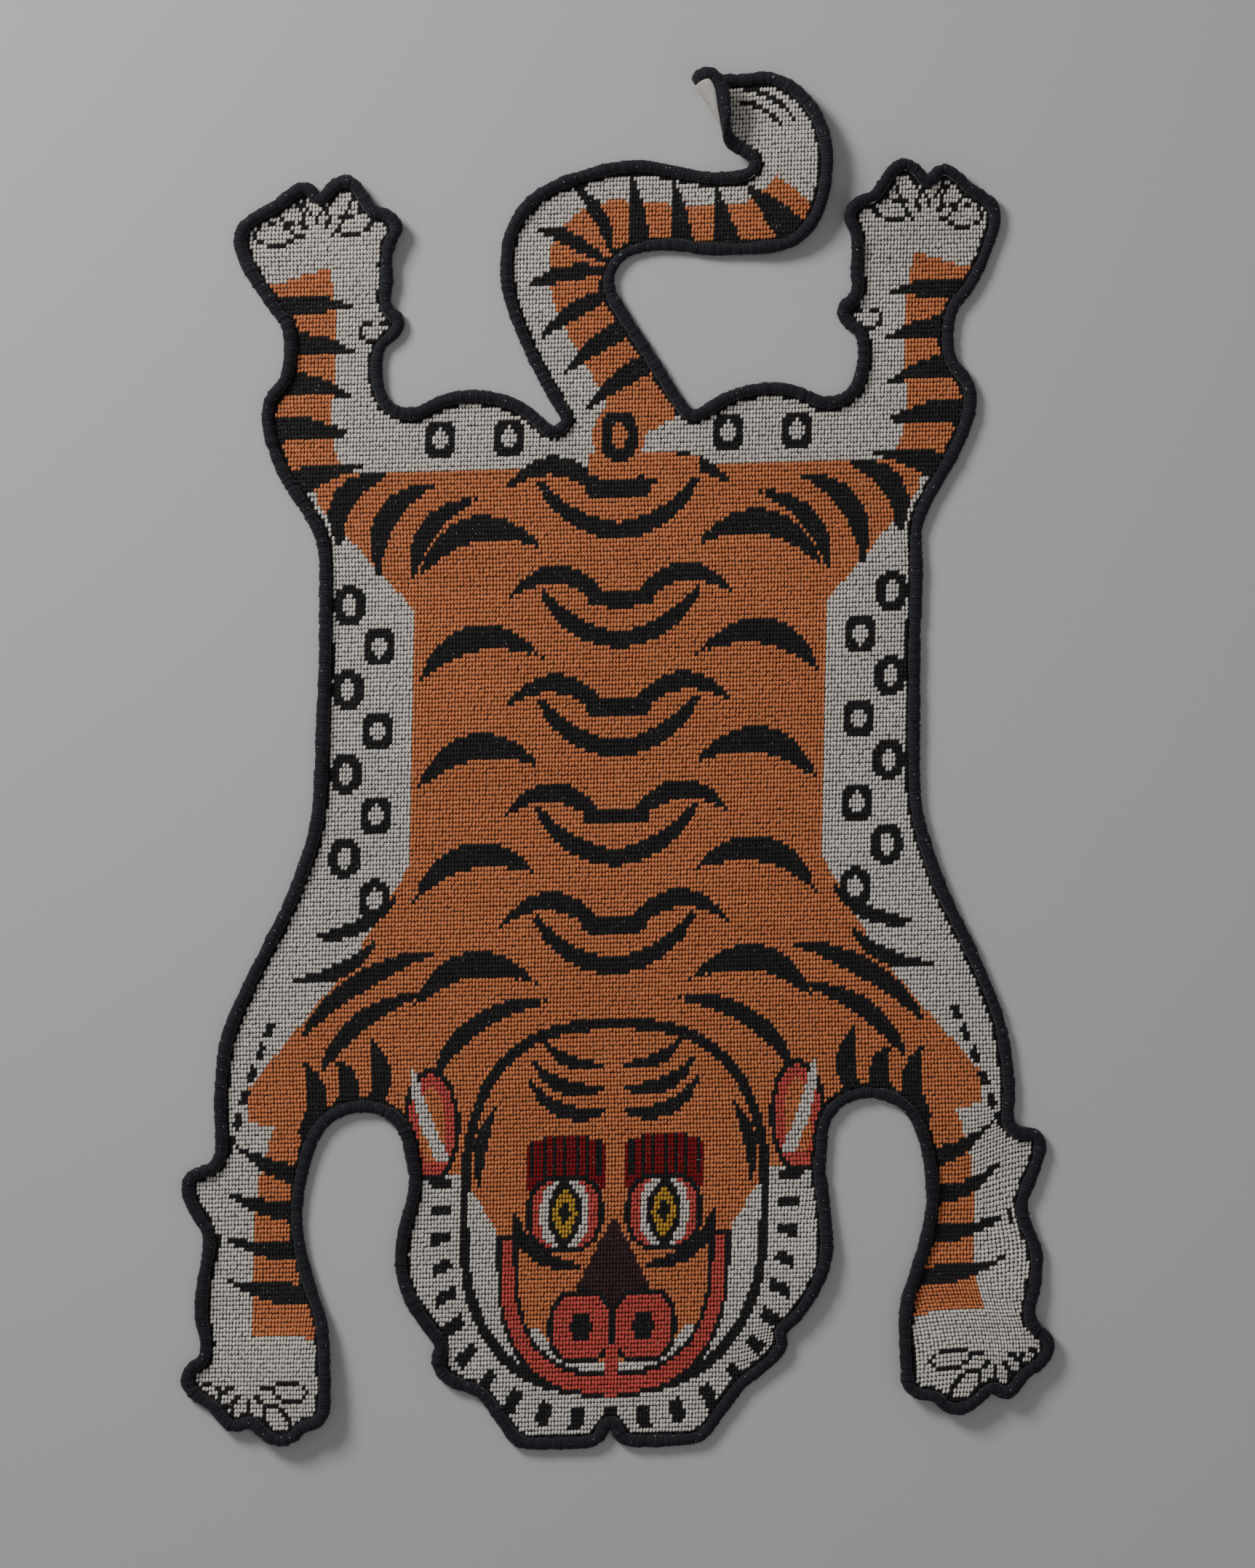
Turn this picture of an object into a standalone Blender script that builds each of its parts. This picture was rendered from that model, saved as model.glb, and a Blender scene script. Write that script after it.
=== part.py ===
"""Flat wool rug in the outline of a spread tiger pelt, with a whipped yarn edge.

The outline is drawn as a chart in millimetres: u runs across from the spine, v from the chin to
the tail. One half is tabled and mirrored, the tail is added, and the small pulls and lifts of a
used rug are then laid over it. Lengths are in metres once MM is applied; the head points to -Y.
"""

import bmesh
import bpy
import numpy as np

LENGTH = 1.500
CHART_LENGTH = 1507.0
MM = LENGTH / CHART_LENGTH

FIELD_THICKNESS = 0.0035
BINDING_RADIUS = 0.0055
SEAM_GAP = 0.0004
RUN_END = 0.0025

OUTLINE_STEP = 0.0025
MOST_TURN = 0.26
LONGEST_RUN = 0.030
CUT_SPACING = 0.030

# Outline of the right half, as (u, v), from the notch under the chin round to the tail's root
CHIN = [(0, 21), (8, 8), (24, 1), (60, 0), (94, 2), (109, 11), (122, 29), (135, 47), (147, 60)]
JOWL = [(165, 67), (183, 77), (193, 91), (194, 104), (192, 116)]
CHEEK = [(202, 130), (215, 148), (227, 169), (235, 191), (238, 214), (236, 237), (231, 259),
         (226, 280), (224, 300)]
BESIDE_EAR = [(228, 322), (232, 342), (240, 358)]
ARMPIT = [(254, 369), (275, 374), (297, 370), (314, 359), (326, 341)]
FORELEG_INSIDE = [(334, 316), (339, 290), (341, 262), (338, 236), (332, 208), (322, 178),
                  (311, 150), (304, 122), (301, 92), (301, 66), (304, 46)]
FOREPAW = [(316, 33), (331, 28), (342, 18), (357, 13), (373, 17), (384, 26), (393, 33), (404, 30),
           (417, 31), (428, 41), (437, 52), (447, 59), (455, 64), (466, 77), (468, 92),
           (460, 104), (450, 112)]
FORELEG_OUTSIDE = [(449, 130), (454, 152), (454, 178), (451, 205), (447, 230), (449, 246)]
SPUR = [(456, 257), (465, 273), (471, 289), (471, 303), (464, 314), (452, 318), (442, 322)]
SHOULDER = [(436, 333), (435, 352), (436, 380), (433, 420), (427, 455), (417, 485), (405, 512), (393, 538),
            (379, 566), (366, 592), (354, 620), (344, 648), (336, 675)]
FLANK = [(331, 705), (329, 750), (328, 810), (327, 870), (328, 930), (328, 980)]
HIP = [(332, 1004), (342, 1025), (356, 1048), (371, 1074), (382, 1100), (388, 1125),
       (387, 1147), (379, 1163)]
HINDLEG_OUTSIDE = [(368, 1176), (363, 1194), (363, 1215), (368, 1234), (380, 1249), (391, 1266),
                   (401, 1286), (409, 1307), (414, 1328), (410, 1347)]
HINDPAW = [(396, 1360), (380, 1370), (366, 1382), (351, 1390), (338, 1386), (331, 1378),
           (322, 1388), (306, 1396), (290, 1390), (279, 1375), (270, 1362), (256, 1357),
           (244, 1347), (241, 1333), (248, 1318)]
HINDLEG_INSIDE = [(251, 1300), (250, 1280), (252, 1262), (249, 1251)]
DEWCLAW = [(240, 1243), (237, 1230), (245, 1217), (256, 1207), (260, 1190), (258, 1168),
           (251, 1151)]
RUMP = [(238, 1142), (222, 1141), (207, 1148), (188, 1155), (163, 1158), (137, 1155),
        (113, 1147), (96, 1137)]
HALF_OUTLINE = (CHIN + JOWL + CHEEK + BESIDE_EAR + ARMPIT + FORELEG_INSIDE + FOREPAW
                + FORELEG_OUTSIDE + SPUR + SHOULDER + FLANK + HIP + HINDLEG_OUTSIDE + HINDPAW
                + HINDLEG_INSIDE + DEWCLAW + RUMP)

# The tail, as (u, v): up its inner side, round its tip and back down its outer side
TAIL_INSIDE = [(80, 1131), (66, 1148), (47, 1178), (27, 1209), (8, 1238), (-6, 1262), (-8, 1280),
               (4, 1297), (27, 1305), (57, 1306), (88, 1301), (122, 1299), (157, 1300),
               (184, 1305), (204, 1319), (218, 1342), (225, 1373), (226, 1405), (219, 1436),
               (205, 1462), (183, 1484)]
TAIL_TIP = [(156, 1496), (130, 1495), (103, 1495), (76, 1492), (56, 1482), (48, 1467),
            (58, 1449), (83, 1430), (108, 1416), (128, 1406), (137, 1396), (127, 1389)]
TAIL_OUTSIDE = [(104, 1388), (82, 1391), (52, 1398), (22, 1404), (-8, 1403), (-38, 1397),
                (-68, 1388), (-96, 1374), (-116, 1353), (-129, 1325), (-132, 1292),
                (-128, 1260), (-117, 1228), (-103, 1196), (-87, 1166), (-72, 1140),
                (-63, 1124), (-72, 1117), (-84, 1126)]
TAIL_OUTLINE = TAIL_INSIDE + TAIL_TIP + TAIL_OUTSIDE

# Runs of the whipped edge, anticlockwise: name, u and v where each starts
BINDING_RUNS = [
    ("binding_right_foreleg", 275, 374),
    ("binding_right_flank", 435, 352),
    ("binding_right_hind_leg", 330, 990),
    ("binding_tail", 137, 1155),
    ("binding_left_hind_leg", -137, 1155),
    ("binding_left_flank", -330, 990),
    ("binding_left_foreleg", -435, 352),
    ("binding_head", -275, 374),
]

# Pulls of the used rug: u, v, reach, shift across, shift along
NUDGES = [
    (370, 58, 145, 25, 18),
    (472, 100, 75, 8, 7),
    (465, 190, 75, 15, 8),
    (462, 300, 90, -3, 20),
    (188, 82, 60, -4, 11),
    (230, 288, 60, 5, 0),
    (-303, 90, 85, -5, 0),
    (-425, 1325, 90, -9, 0),
    (-385, 1190, 80, -4, 0),
    (390, 1330, 80, -3, 0),
]
# Sideways drift of the spine: v where it starts, v where it ends, shift across
SWAYS = [(300, 500, -6.5), (930, 1080, -6.0)]
ROW_SLANT = 0.047

# Places where the rug stands a little off the floor: x, y, reach, height
LIFTS = [
    (-310, 45, 150, 16),
    (390, 95, 150, 12),
    (210, 180, 110, 6),
    (-230, 160, 100, 3),
    (-262, 1328, 110, 8),
    (318, 1415, 120, 8),
    (203, 1410, 170, 16),
]

# The curled edge of the tail's tip: where the curl starts, its direction and its radius
CURL_START = np.array([137.5, 1408.5]) * MM
CURL_ALONG = np.array([-0.546, 0.838])
CURL_SIDE = np.array([-0.838, -0.546])
CURL_RADIUS = 0.015
CURL_CUTS = np.arange(0, 36, 5) * MM
CURL_CROSS_CUTS = np.arange(10, 90, 10) * MM
CURL_RUN = 0.005
CURL_FADE = 0.060
CURL_BOX = np.array([(28.0, 190.0), (1407.5, 1530.0)]) * MM

FIELD_COLOUR = (0.52, 0.17, 0.055, 1.0)
BINDING_COLOUR = (0.014, 0.014, 0.019, 1.0)
WOOL_ROUGHNESS = 0.92


def clear_scene():
    for thing in list(bpy.data.objects):
        bpy.data.objects.remove(thing, do_unlink=True)


def make_collection(name):
    collection = bpy.data.collections.new(name)
    bpy.context.scene.collection.children.link(collection)
    return collection


def wool_material(name, colour):
    material = bpy.data.materials.new(name)
    material.use_nodes = True
    shader = material.node_tree.nodes["Principled BSDF"]
    shader.inputs["Base Color"].default_value = colour
    shader.inputs["Roughness"].default_value = WOOL_ROUGHNESS
    shader.inputs["Metallic"].default_value = 0.0
    material.diffuse_color = colour
    return material


def smooth_loop(corners, step):
    """Closed curve through the corners, with points about one step apart."""
    before = np.roll(corners, 1, axis=0)
    after = np.roll(corners, -1, axis=0)
    beyond = np.roll(corners, -2, axis=0)
    runs = []
    for a, b, c, d in zip(before, corners, after, beyond):
        count = max(1, round(np.linalg.norm(c - b) / step))
        t = (np.arange(count) / count)[:, None]
        bend = 2 * a - 5 * b + 4 * c - d
        twist = 3 * b - a - 3 * c + d
        runs.append(b + 0.5 * (t * (c - a) + t**2 * bend + t**3 * twist))
    return np.concatenate(runs)


def outline_loop():
    """The rug's outer edge on the floor, anticlockwise."""
    mirrored = [(-u, v) for u, v in HALF_OUTLINE[:0:-1]]
    corners = np.array(HALF_OUTLINE + TAIL_OUTLINE + mirrored, dtype=float) * MM
    return pull(*smooth_loop(corners, OUTLINE_STEP).T)


def sideways(along):
    """Unit vectors to the left of the given directions."""
    along = along / np.linalg.norm(along, axis=1)[:, None]
    return np.stack([-along[:, 1], along[:, 0]], axis=1)


def inset(loop, distance):
    """The loop moved inwards at an even distance, without the points that would fold over."""
    into = sideways(loop - np.roll(loop, 1, axis=0))
    onward = sideways(np.roll(loop, -1, axis=0) - loop)
    between = into + onward
    moved = loop + 2 * distance * between / (between**2).sum(axis=1)[:, None]
    t = (np.arange(8) / 8)[:, None, None]
    close = (loop + t * (np.roll(loop, -1, axis=0) - loop)).reshape(-1, 2)
    clear = [np.hypot(*(close - point).T).min() > 0.99 * distance for point in moved]
    return moved[np.array(clear)]


def in_curl_box(x, y):
    (low_x, high_x), (low_y, high_y) = CURL_BOX
    return (x > low_x) & (x < high_x) & (y > low_y) & (y < high_y)


def stations(loop):
    """The points to keep: close together in bends and apart on straight runs."""
    ahead = np.roll(loop, -1, axis=0) - loop
    heading = np.arctan2(ahead[:, 1], ahead[:, 0])
    turn = np.abs((heading - np.roll(heading, 1) + np.pi) % (2 * np.pi) - np.pi)
    run = np.linalg.norm(ahead, axis=1)
    longest = np.where(in_curl_box(*loop.T), CURL_RUN, LONGEST_RUN)
    keep = [0]
    turned, walked = 0.0, 0.0
    for index in range(1, len(loop)):
        turned += turn[index]
        walked += run[index - 1]
        if turned > MOST_TURN or walked > longest[index]:
            keep.append(index)
            turned, walked = 0.0, 0.0
    return loop[keep]


def ramp(value, low, high):
    """Smooth step from 0 at low to 1 at high."""
    t = np.clip((value - low) / (high - low), 0, 1)
    return t * t * (3 - 2 * t)


def hump(u, v, cu, cv, reach):
    """Smooth bump that is 1 at its middle and 0 at its reach."""
    square = ((u - cu)**2 + (v - cv)**2) / reach**2
    return np.clip(1 - square, 0, 1)**2


def lift(x, y):
    """Height of the rug's underside over the floor."""
    height = np.zeros(np.shape(x))
    for cx, cy, reach, rise in np.array(LIFTS) * MM:
        height = height + rise * hump(x, y, cx, cy, reach)
    return height


def curl(x, y, w):
    """Roll the edge of the tail's tip up and over; the radius holds at the cord's own height."""
    dx, dy = x - CURL_START[0], y - CURL_START[1]
    along = dx * CURL_ALONG[0] + dy * CURL_ALONG[1]
    side = np.maximum(dx * CURL_SIDE[0] + dy * CURL_SIDE[1], 0)
    angle = np.where(in_curl_box(x, y), side * ramp(along, 0, CURL_FADE) / CURL_RADIUS, 0)
    above = w - BINDING_RADIUS
    drawn_in = side * np.sinc(angle / np.pi) - above * np.sin(angle) - side
    rise = side * angle / 2 * np.sinc(angle / 2 / np.pi)**2
    height = BINDING_RADIUS + rise + above * np.cos(angle)
    return x + drawn_in * CURL_SIDE[0], y + drawn_in * CURL_SIDE[1], height


def pull(u, v):
    """The place on the floor of a chart point, with the pulls of the used rug."""
    pull_u, pull_v = 0, 0
    for cu, cv, reach, across, along in np.array(NUDGES) * MM:
        share = hump(u, v, cu, cv, reach)
        pull_u = pull_u + across * share
        pull_v = pull_v + along * share
    x, v = u + pull_u, v + pull_v
    for start, end, shift in np.array(SWAYS) * MM:
        x = x + shift * ramp(v, start, end)
    return np.stack([x, v + ROW_SLANT * x], axis=-1)


def raised(x, y, w):
    """A point w above the underside at the floor place x, y, with the lifts and the curl."""
    floor = lift(x, y)
    x, y, height = curl(x, y, w)
    return np.stack([x, y, floor + height], axis=-1)


def curve_through(name, points, closed):
    """A POLY curve object through the points."""
    curve = bpy.data.curves.new(name, "CURVE")
    spline = curve.splines.new("POLY")
    spline.points.add(len(points) - 1)
    for control, point in zip(spline.points, points):
        control.co = (*point, 1.0)
    spline.use_cyclic_u = closed
    return bpy.data.objects.new(name, curve)


def mesh_from(curve_object, collection):
    """Replace a curve object by a mesh object of its evaluated shape, with its seams welded."""
    collection.objects.link(curve_object)
    bpy.context.view_layer.update()
    evaluated = curve_object.evaluated_get(bpy.context.evaluated_depsgraph_get())
    mesh = bpy.data.meshes.new_from_object(evaluated)
    name = curve_object.name
    bpy.data.objects.remove(curve_object, do_unlink=True)
    mesh.name = name
    result = bpy.data.objects.new(name, mesh)
    collection.objects.link(result)
    cage = bmesh.new()
    cage.from_mesh(mesh)
    bmesh.ops.remove_doubles(cage, verts=cage.verts, dist=0.00002)
    cage.to_mesh(mesh)
    cage.free()
    return result


def cut(cage, faces, point, normal):
    """Cut the given faces along one plane."""
    edges = {edge for face in faces for edge in face.edges}
    verts = {vert for face in faces for vert in face.verts}
    bmesh.ops.bisect_plane(cage, geom=[*verts, *edges, *faces], dist=0.0003,
                           plane_co=point, plane_no=normal)


def cut_into_grid(cage, low, high):
    """Cut all faces crosswise into a grid, so that the panel can bend."""
    for x in np.arange(low[0] + CUT_SPACING / 2, high[0], CUT_SPACING):
        cut(cage, cage.faces[:], (x, 0, 0), (1, 0, 0))
    for y in np.arange(low[1] + CUT_SPACING / 2, high[1], CUT_SPACING):
        cut(cage, cage.faces[:], (0, y, 0), (0, 1, 0))


def cut_for_curl(cage):
    """Cut the tail's tip along and across its curl, which bends tighter than the grid."""
    planes = [(distance, CURL_SIDE) for distance in CURL_CUTS]
    planes += [(distance, CURL_ALONG) for distance in CURL_CROSS_CUTS]
    for distance, direction in planes:
        centres = [(face, face.calc_center_median()) for face in cage.faces]
        tip = [face for face, at in centres if in_curl_box(at.x, at.y)]
        cut(cage, tip, (*(CURL_START + distance * direction), 0), (*direction, 0))


def make_field(middle, collection):
    """The stitched panel: its flat outline with thickness, cut into a grid and laid down."""
    edge = inset(middle, BINDING_RADIUS + SEAM_GAP)
    curve_object = curve_through("rug_field", np.pad(edge, ((0, 0), (0, 1))), True)
    curve_object.data.dimensions = "2D"
    curve_object.data.fill_mode = "BOTH"
    curve_object.data.extrude = FIELD_THICKNESS / 2
    field = mesh_from(curve_object, collection)
    cage = bmesh.new()
    cage.from_mesh(field.data)
    bmesh.ops.dissolve_limit(cage, angle_limit=0.001, verts=cage.verts, edges=cage.edges)
    cut_into_grid(cage, edge.min(axis=0), edge.max(axis=0))
    cut_for_curl(cage)
    bmesh.ops.triangulate(cage, faces=cage.faces)
    bmesh.ops.recalc_face_normals(cage, faces=cage.faces)
    for vert in cage.verts:
        vert.co = raised(vert.co.x, vert.co.y, vert.co.z + FIELD_THICKNESS / 2)
    cage.to_mesh(field.data)
    cage.free()
    return field


def run_of(middle, start, end):
    """The loop's points from start to end, drawn back at both ends to leave square, narrow gaps."""
    count = (end - start) % len(middle)
    run = np.roll(middle, -start, axis=0)[:count + 1]
    heading = np.roll(middle, -1, axis=0) - np.roll(middle, 1, axis=0)
    first, last = (heading[index] / np.linalg.norm(heading[index]) for index in (start, end))
    setbacks = np.array([[SEAM_GAP / 2], [RUN_END]])
    opening = run[0] + setbacks * first
    closing = run[-1] - setbacks[::-1] * last
    return np.concatenate([opening, run[1:-1], closing])


def make_binding(name, run, collection):
    """One run of the whipped edge: a round cord of yarn along the outline."""
    path = raised(run[:, 0], run[:, 1], BINDING_RADIUS)
    curve_object = curve_through(name, path, False)
    curve_object.data.dimensions = "3D"
    curve_object.data.bevel_depth = BINDING_RADIUS
    curve_object.data.bevel_resolution = 2
    curve_object.data.use_fill_caps = True
    curve_object.data.twist_mode = "Z_UP"
    return mesh_from(curve_object, collection)


def make_bindings(middle, collection):
    """The whipped edge all round, in the named runs."""
    places = [pull(u * MM, v * MM) for _, u, v in BINDING_RUNS]
    starts = [int(np.argmin(np.hypot(*(middle - place).T))) for place in places]
    ends = starts[1:] + starts[:1]
    runs = [run_of(middle, start, end) for start, end in zip(starts, ends)]
    return [make_binding(name, run, collection) for (name, _, _), run in zip(BINDING_RUNS, runs)]


def centre_on_floor(pieces):
    """Move the pieces so that the middle of their bounds is over the origin and they sit on z 0."""
    points = np.array([vert.co[:] for piece in pieces for vert in piece.data.vertices])
    low, high = points.min(axis=0), points.max(axis=0)
    middle = (low + high) / 2
    for piece in pieces:
        for vert in piece.data.vertices:
            vert.co.x -= middle[0]
            vert.co.y -= middle[1]
            vert.co.z -= low[2]


def main():
    clear_scene()
    collection = make_collection("wool_rug")
    middle = stations(inset(outline_loop(), BINDING_RADIUS))
    field = make_field(middle, collection)
    bindings = make_bindings(middle, collection)
    field.data.materials.append(wool_material("wool_field", FIELD_COLOUR))
    yarn = wool_material("wool_binding", BINDING_COLOUR)
    for binding in bindings:
        binding.data.materials.append(yarn)
    centre_on_floor([field, *bindings])


main()
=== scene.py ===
"""Flat wool rug in the outline of a spread tiger pelt: stitches of wool on a canvas ground,
with a whipped edge.

The outline, its pulls and its lifts repeat those of the CAD source. The drawing is a chart of
stitches: u runs across from the spine and v from the chin to the tail, in chart millimetres.
"""
import math

import bpy
import numpy as np
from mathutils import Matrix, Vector
from mathutils.geometry import delaunay_2d_cdt


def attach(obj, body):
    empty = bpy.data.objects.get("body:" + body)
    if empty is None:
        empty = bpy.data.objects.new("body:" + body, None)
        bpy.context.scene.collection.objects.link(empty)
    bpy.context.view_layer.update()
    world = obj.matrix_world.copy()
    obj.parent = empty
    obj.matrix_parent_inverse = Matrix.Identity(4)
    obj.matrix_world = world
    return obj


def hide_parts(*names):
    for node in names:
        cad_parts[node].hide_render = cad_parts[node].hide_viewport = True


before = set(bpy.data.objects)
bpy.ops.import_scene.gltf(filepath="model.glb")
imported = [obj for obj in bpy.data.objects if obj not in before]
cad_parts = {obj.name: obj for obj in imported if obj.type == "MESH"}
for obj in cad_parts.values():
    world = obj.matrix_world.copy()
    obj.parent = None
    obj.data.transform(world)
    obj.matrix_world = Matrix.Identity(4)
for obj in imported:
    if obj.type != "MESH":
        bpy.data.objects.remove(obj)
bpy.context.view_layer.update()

LENGTH = 1.500
CHART_LENGTH = 1507.0
MM = LENGTH / CHART_LENGTH
MIDDLE = (0.00508561, 0.74622936)

BINDING_RADIUS = 0.0055
SEAM_GAP = 0.0004
OUTLINE_STEP = 0.0025

# Outline of the right half, as (u, v), from the notch under the chin round to the tail's root
CHIN = [(0, 21), (8, 8), (24, 1), (60, 0), (94, 2), (109, 11), (122, 29), (135, 47), (147, 60)]
JOWL = [(165, 67), (183, 77), (193, 91), (194, 104), (192, 116)]
CHEEK = [(202, 130), (215, 148), (227, 169), (235, 191), (238, 214), (236, 237), (231, 259),
         (226, 280), (224, 300)]
BESIDE_EAR = [(228, 322), (232, 342), (240, 358)]
ARMPIT = [(254, 369), (275, 374), (297, 370), (314, 359), (326, 341)]
FORELEG_INSIDE = [(334, 316), (339, 290), (341, 262), (338, 236), (332, 208), (322, 178),
                  (311, 150), (304, 122), (301, 92), (301, 66), (304, 46)]
FOREPAW = [(316, 33), (331, 28), (342, 18), (357, 13), (373, 17), (384, 26), (393, 33), (404, 30),
           (417, 31), (428, 41), (437, 52), (447, 59), (455, 64), (466, 77), (468, 92),
           (460, 104), (450, 112)]
FORELEG_OUTSIDE = [(449, 130), (454, 152), (454, 178), (451, 205), (447, 230), (449, 246)]
SPUR = [(456, 257), (465, 273), (471, 289), (471, 303), (464, 314), (452, 318), (442, 322)]
SHOULDER = [(436, 333), (435, 352), (436, 380), (433, 420), (427, 455), (417, 485), (405, 512), (393, 538),
            (379, 566), (366, 592), (354, 620), (344, 648), (336, 675)]
FLANK = [(331, 705), (329, 750), (328, 810), (327, 870), (328, 930), (328, 980)]
HIP = [(332, 1004), (342, 1025), (356, 1048), (371, 1074), (382, 1100), (388, 1125),
       (387, 1147), (379, 1163)]
HINDLEG_OUTSIDE = [(368, 1176), (363, 1194), (363, 1215), (368, 1234), (380, 1249), (391, 1266),
                   (401, 1286), (409, 1307), (414, 1328), (410, 1347)]
HINDPAW = [(396, 1360), (380, 1370), (366, 1382), (351, 1390), (338, 1386), (331, 1378),
           (322, 1388), (306, 1396), (290, 1390), (279, 1375), (270, 1362), (256, 1357),
           (244, 1347), (241, 1333), (248, 1318)]
HINDLEG_INSIDE = [(251, 1300), (250, 1280), (252, 1262), (249, 1251)]
DEWCLAW = [(240, 1243), (237, 1230), (245, 1217), (256, 1207), (260, 1190), (258, 1168),
           (251, 1151)]
RUMP = [(238, 1142), (222, 1141), (207, 1148), (188, 1155), (163, 1158), (137, 1155),
        (113, 1147), (96, 1137)]
HALF_OUTLINE = (CHIN + JOWL + CHEEK + BESIDE_EAR + ARMPIT + FORELEG_INSIDE + FOREPAW
                + FORELEG_OUTSIDE + SPUR + SHOULDER + FLANK + HIP + HINDLEG_OUTSIDE + HINDPAW
                + HINDLEG_INSIDE + DEWCLAW + RUMP)

# The tail, as (u, v): up its inner side, round its tip and back down its outer side
TAIL_INSIDE = [(80, 1131), (66, 1148), (47, 1178), (27, 1209), (8, 1238), (-6, 1262), (-8, 1280),
               (4, 1297), (27, 1305), (57, 1306), (88, 1301), (122, 1299), (157, 1300),
               (184, 1305), (204, 1319), (218, 1342), (225, 1373), (226, 1405), (219, 1436),
               (205, 1462), (183, 1484)]
TAIL_TIP = [(156, 1496), (130, 1495), (103, 1495), (76, 1492), (56, 1482), (48, 1467),
            (58, 1449), (83, 1430), (108, 1416), (128, 1406), (137, 1396), (127, 1389)]
TAIL_OUTSIDE = [(104, 1388), (82, 1391), (52, 1398), (22, 1404), (-8, 1403), (-38, 1397),
                (-68, 1388), (-96, 1374), (-116, 1353), (-129, 1325), (-132, 1292),
                (-128, 1260), (-117, 1228), (-103, 1196), (-87, 1166), (-72, 1140),
                (-63, 1124), (-72, 1117), (-84, 1126)]
TAIL_OUTLINE = TAIL_INSIDE + TAIL_TIP + TAIL_OUTSIDE

# Pulls of the used rug: u, v, reach, shift across, shift along
NUDGES = [
    (370, 58, 145, 25, 18),
    (472, 100, 75, 8, 7),
    (465, 190, 75, 15, 8),
    (462, 300, 90, -3, 20),
    (188, 82, 60, -4, 11),
    (230, 288, 60, 5, 0),
    (-303, 90, 85, -5, 0),
    (-425, 1325, 90, -9, 0),
    (-385, 1190, 80, -4, 0),
    (390, 1330, 80, -3, 0),
]
# Sideways drift of the spine: v where it starts, v where it ends, shift across
SWAYS = [(300, 500, -6.5), (930, 1080, -6.0)]
ROW_SLANT = 0.047

# Places where the rug stands a little off the floor: x, y, reach, height
LIFTS = [
    (-310, 45, 150, 16),
    (390, 95, 150, 12),
    (210, 180, 110, 6),
    (-230, 160, 100, 3),
    (-262, 1328, 110, 8),
    (318, 1415, 120, 8),
    (203, 1410, 170, 16),
]

# The curled edge of the tail's tip: where the curl starts, its direction and its radius
CURL_START = np.array([137.5, 1408.5]) * MM
CURL_ALONG = np.array([-0.546, 0.838])
CURL_SIDE = np.array([-0.838, -0.546])
CURL_RADIUS = 0.015
CURL_FADE = 0.060
CURL_BOX = np.array([(28.0, 190.0), (1407.5, 1530.0)]) * MM


def smooth_loop(corners, step):
    """Closed curve through the corners, with points about one step apart."""
    before = np.roll(corners, 1, axis=0)
    after = np.roll(corners, -1, axis=0)
    beyond = np.roll(corners, -2, axis=0)
    runs = []
    for a, b, c, d in zip(before, corners, after, beyond):
        count = max(1, round(np.linalg.norm(c - b) / step))
        t = (np.arange(count) / count)[:, None]
        bend = 2 * a - 5 * b + 4 * c - d
        twist = 3 * b - a - 3 * c + d
        runs.append(b + 0.5 * (t * (c - a) + t**2 * bend + t**3 * twist))
    return np.concatenate(runs)


def sideways(along):
    """Unit vectors to the left of the given directions."""
    along = along / np.linalg.norm(along, axis=1)[:, None]
    return np.stack([-along[:, 1], along[:, 0]], axis=1)


def inset(loop, distance):
    """The loop moved inwards at an even distance, without the points that would fold over."""
    into = sideways(loop - np.roll(loop, 1, axis=0))
    onward = sideways(np.roll(loop, -1, axis=0) - loop)
    between = into + onward
    moved = loop + 2 * distance * between / (between**2).sum(axis=1)[:, None]
    t = (np.arange(8) / 8)[:, None, None]
    close = (loop + t * (np.roll(loop, -1, axis=0) - loop)).reshape(-1, 2)
    clear = [np.hypot(*(close - point).T).min() > 0.99 * distance for point in moved]
    return moved[np.array(clear)]


def in_curl_box(x, y):
    (low_x, high_x), (low_y, high_y) = CURL_BOX
    return (x > low_x) & (x < high_x) & (y > low_y) & (y < high_y)


def ramp(value, low, high):
    """Smooth step from 0 at low to 1 at high."""
    t = np.clip((value - low) / (high - low), 0, 1)
    return t * t * (3 - 2 * t)


def hump(u, v, cu, cv, reach):
    """Smooth bump that is 1 at its middle and 0 at its reach."""
    square = ((u - cu)**2 + (v - cv)**2) / reach**2
    return np.clip(1 - square, 0, 1)**2


def lift(x, y):
    """Height of the rug's underside over the floor."""
    height = np.zeros(np.shape(x))
    for cx, cy, reach, rise in np.array(LIFTS) * MM:
        height = height + rise * hump(x, y, cx, cy, reach)
    return height


def curl(x, y, w):
    """Roll the edge of the tail's tip up and over; the radius holds at the cord's own height."""
    dx, dy = x - CURL_START[0], y - CURL_START[1]
    along = dx * CURL_ALONG[0] + dy * CURL_ALONG[1]
    side = np.maximum(dx * CURL_SIDE[0] + dy * CURL_SIDE[1], 0)
    angle = np.where(in_curl_box(x, y), side * ramp(along, 0, CURL_FADE) / CURL_RADIUS, 0)
    above = w - BINDING_RADIUS
    drawn_in = side * np.sinc(angle / np.pi) - above * np.sin(angle) - side
    rise = side * angle / 2 * np.sinc(angle / 2 / np.pi)**2
    height = BINDING_RADIUS + rise + above * np.cos(angle)
    return x + drawn_in * CURL_SIDE[0], y + drawn_in * CURL_SIDE[1], height


def pull(u, v):
    """The place on the floor of a chart point, with the pulls of the used rug."""
    pull_u, pull_v = 0, 0
    for cu, cv, reach, across, along in np.array(NUDGES) * MM:
        share = hump(u, v, cu, cv, reach)
        pull_u = pull_u + across * share
        pull_v = pull_v + along * share
    x, v = u + pull_u, v + pull_v
    for start, end, shift in np.array(SWAYS) * MM:
        x = x + shift * ramp(v, start, end)
    return np.stack([x, v + ROW_SLANT * x], axis=-1)


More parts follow.
